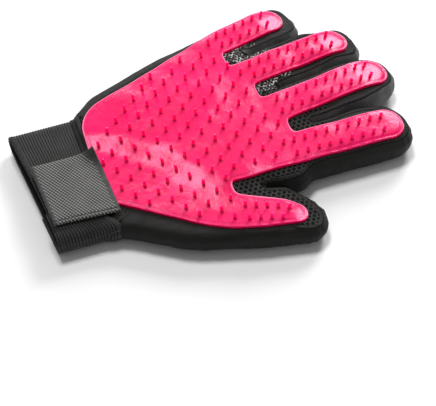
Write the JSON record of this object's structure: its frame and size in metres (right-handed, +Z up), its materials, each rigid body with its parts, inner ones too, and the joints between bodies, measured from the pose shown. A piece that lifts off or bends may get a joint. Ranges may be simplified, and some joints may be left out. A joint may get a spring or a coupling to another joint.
{
  "type": "pet grooming glove",
  "caption": "Right-hand pet grooming glove with a studded rubber palm, cloth back, bending digits, ribbed wrist cuff and a hook-and-loop strap.",
  "frame": {"origin": "middle of the whole glove's footprint, on the surface it lies on", "axes": "+X from the cuff towards the fingertips, +Y towards the little finger, +Z up out of the studded palm; the glove lies on its back"},
  "size_m": [0.2378, 0.1812, 0.0226],
  "materials": {
    "grip_silicone": "glossy moulded silicone rubber",
    "front_mesh": "fine black polyester mesh",
    "back_mesh": "black air mesh with open hexagonal holes",
    "gusset_knit": "smooth black stretch knit",
    "ribbed_elastic": "ribbed black elastic webbing",
    "binding_knit": "smooth black folded knit binding",
    "hook_tape": "woven grey hook tape back",
    "hook_pile": "field of small plastic hooks",
    "loop_pile": "brushed loop pile"
  },
  "bodies": {
    "hand": {"palm_back_panel": "back_mesh", "palm_front_panel": "front_mesh", "palm_grip_pad": "grip_silicone", "palm_grip_studs": "grip_silicone", "outer_side_gusset": "gusset_knit", "thumb_side_gusset": "gusset_knit", "finger_crotch_gussets": "gusset_knit", "wrist_cuff": "ribbed_elastic", "cuff_hem": "binding_knit", "wrist_seam_binding": "binding_knit", "loop_patch": "loop_pile", "strap_anchor": "ribbed_elastic"},
    "strap": {"strap_band": "ribbed_elastic", "hook_tape": "hook_tape", "hook_pile": "hook_pile"},
    "little_base": {"little_base_grip_pad": "grip_silicone", "little_base_front_panel": "front_mesh", "little_base_side_gusset": "gusset_knit", "little_base_back_panel": "back_mesh"},
    "little_end": {"little_end_grip_pad": "grip_silicone", "little_end_front_panel": "front_mesh", "little_end_side_gusset": "gusset_knit", "little_end_back_panel": "back_mesh"},
    "ring_base": {"ring_base_grip_pad": "grip_silicone", "ring_base_front_panel": "front_mesh", "ring_base_side_gusset": "gusset_knit", "ring_base_back_panel": "back_mesh"},
    "ring_end": {"ring_end_grip_pad": "grip_silicone", "ring_end_front_panel": "front_mesh", "ring_end_side_gusset": "gusset_knit", "ring_end_back_panel": "back_mesh"},
    "middle_base": {"middle_base_grip_pad": "grip_silicone", "middle_base_front_panel": "front_mesh", "middle_base_side_gusset": "gusset_knit", "middle_base_back_panel": "back_mesh"},
    "middle_end": {"middle_end_grip_pad": "grip_silicone", "middle_end_front_panel": "front_mesh", "middle_end_side_gusset": "gusset_knit", "middle_end_back_panel": "back_mesh"},
    "index_base": {"index_base_grip_pad": "grip_silicone", "index_base_front_panel": "front_mesh", "index_base_side_gusset": "gusset_knit", "index_base_back_panel": "back_mesh"},
    "index_end": {"index_end_grip_pad": "grip_silicone", "index_end_front_panel": "front_mesh", "index_end_side_gusset": "gusset_knit", "index_end_back_panel": "back_mesh"},
    "thumb_base": {"thumb_base_grip_pad": "grip_silicone", "thumb_base_front_panel": "front_mesh", "thumb_base_side_gusset": "gusset_knit", "thumb_base_back_panel": "back_mesh"},
    "thumb_end": {"thumb_end_grip_pad": "grip_silicone", "thumb_end_front_panel": "front_mesh", "thumb_end_side_gusset": "gusset_knit", "thumb_end_back_panel": "back_mesh"}
  },
  "joints": [
    {"name": "little_knuckle", "type": "hinge", "parent": "hand", "child": "little_base", "pos_m": [0.03416, 0.06828, 0.0178], "axis": [0.2639, -0.9646, 0], "range_deg": [0, 62]},
    {"name": "little_middle", "type": "hinge", "parent": "little_base", "child": "little_end", "pos_m": [0.05412, 0.07375, 0.0178], "axis": [0.2639, -0.9646, 0], "range_deg": [0, 62]},
    {"name": "ring_knuckle", "type": "hinge", "parent": "hand", "child": "ring_base", "pos_m": [0.0443, 0.0349, 0.0178], "axis": [0.1685, -0.9857, 0], "range_deg": [0, 62]},
    {"name": "ring_middle", "type": "hinge", "parent": "ring_base", "child": "ring_end", "pos_m": [0.0715, 0.03955, 0.0178], "axis": [0.1685, -0.9857, 0], "range_deg": [0, 62]},
    {"name": "middle_knuckle", "type": "hinge", "parent": "hand", "child": "middle_base", "pos_m": [0.05662, 0.00278, 0.0178], "axis": [0.1582, -0.9874, 0], "range_deg": [0, 62]},
    {"name": "middle_middle", "type": "hinge", "parent": "middle_base", "child": "middle_end", "pos_m": [0.08387, 0.00715, 0.0178], "axis": [0.1582, -0.9874, 0], "range_deg": [0, 62]},
    {"name": "index_knuckle", "type": "hinge", "parent": "hand", "child": "index_base", "pos_m": [0.05423, -0.03279, 0.0178], "axis": [0, -1, 0], "range_deg": [0, 62]},
    {"name": "index_middle", "type": "hinge", "parent": "index_base", "child": "index_end", "pos_m": [0.08183, -0.03279, 0.0178], "axis": [0, -1, 0], "range_deg": [0, 62]},
    {"name": "thumb_knuckle", "type": "hinge", "parent": "hand", "child": "thumb_base", "pos_m": [0.00352, -0.06945, 0.0178], "axis": [-0.3486, -0.9373, 0], "range_deg": [0, 50]},
    {"name": "thumb_middle", "type": "hinge", "parent": "thumb_base", "child": "thumb_end", "pos_m": [0.01523, -0.0738, 0.0178], "axis": [-0.3486, -0.9373, 0], "range_deg": [0, 58]},
    {"name": "strap_peel", "type": "hinge", "parent": "hand", "child": "strap", "pos_m": [-0.09787, -0.04519, 0.0179], "axis": [1, 0, 0], "range_deg": [0, 165]}
  ]
}
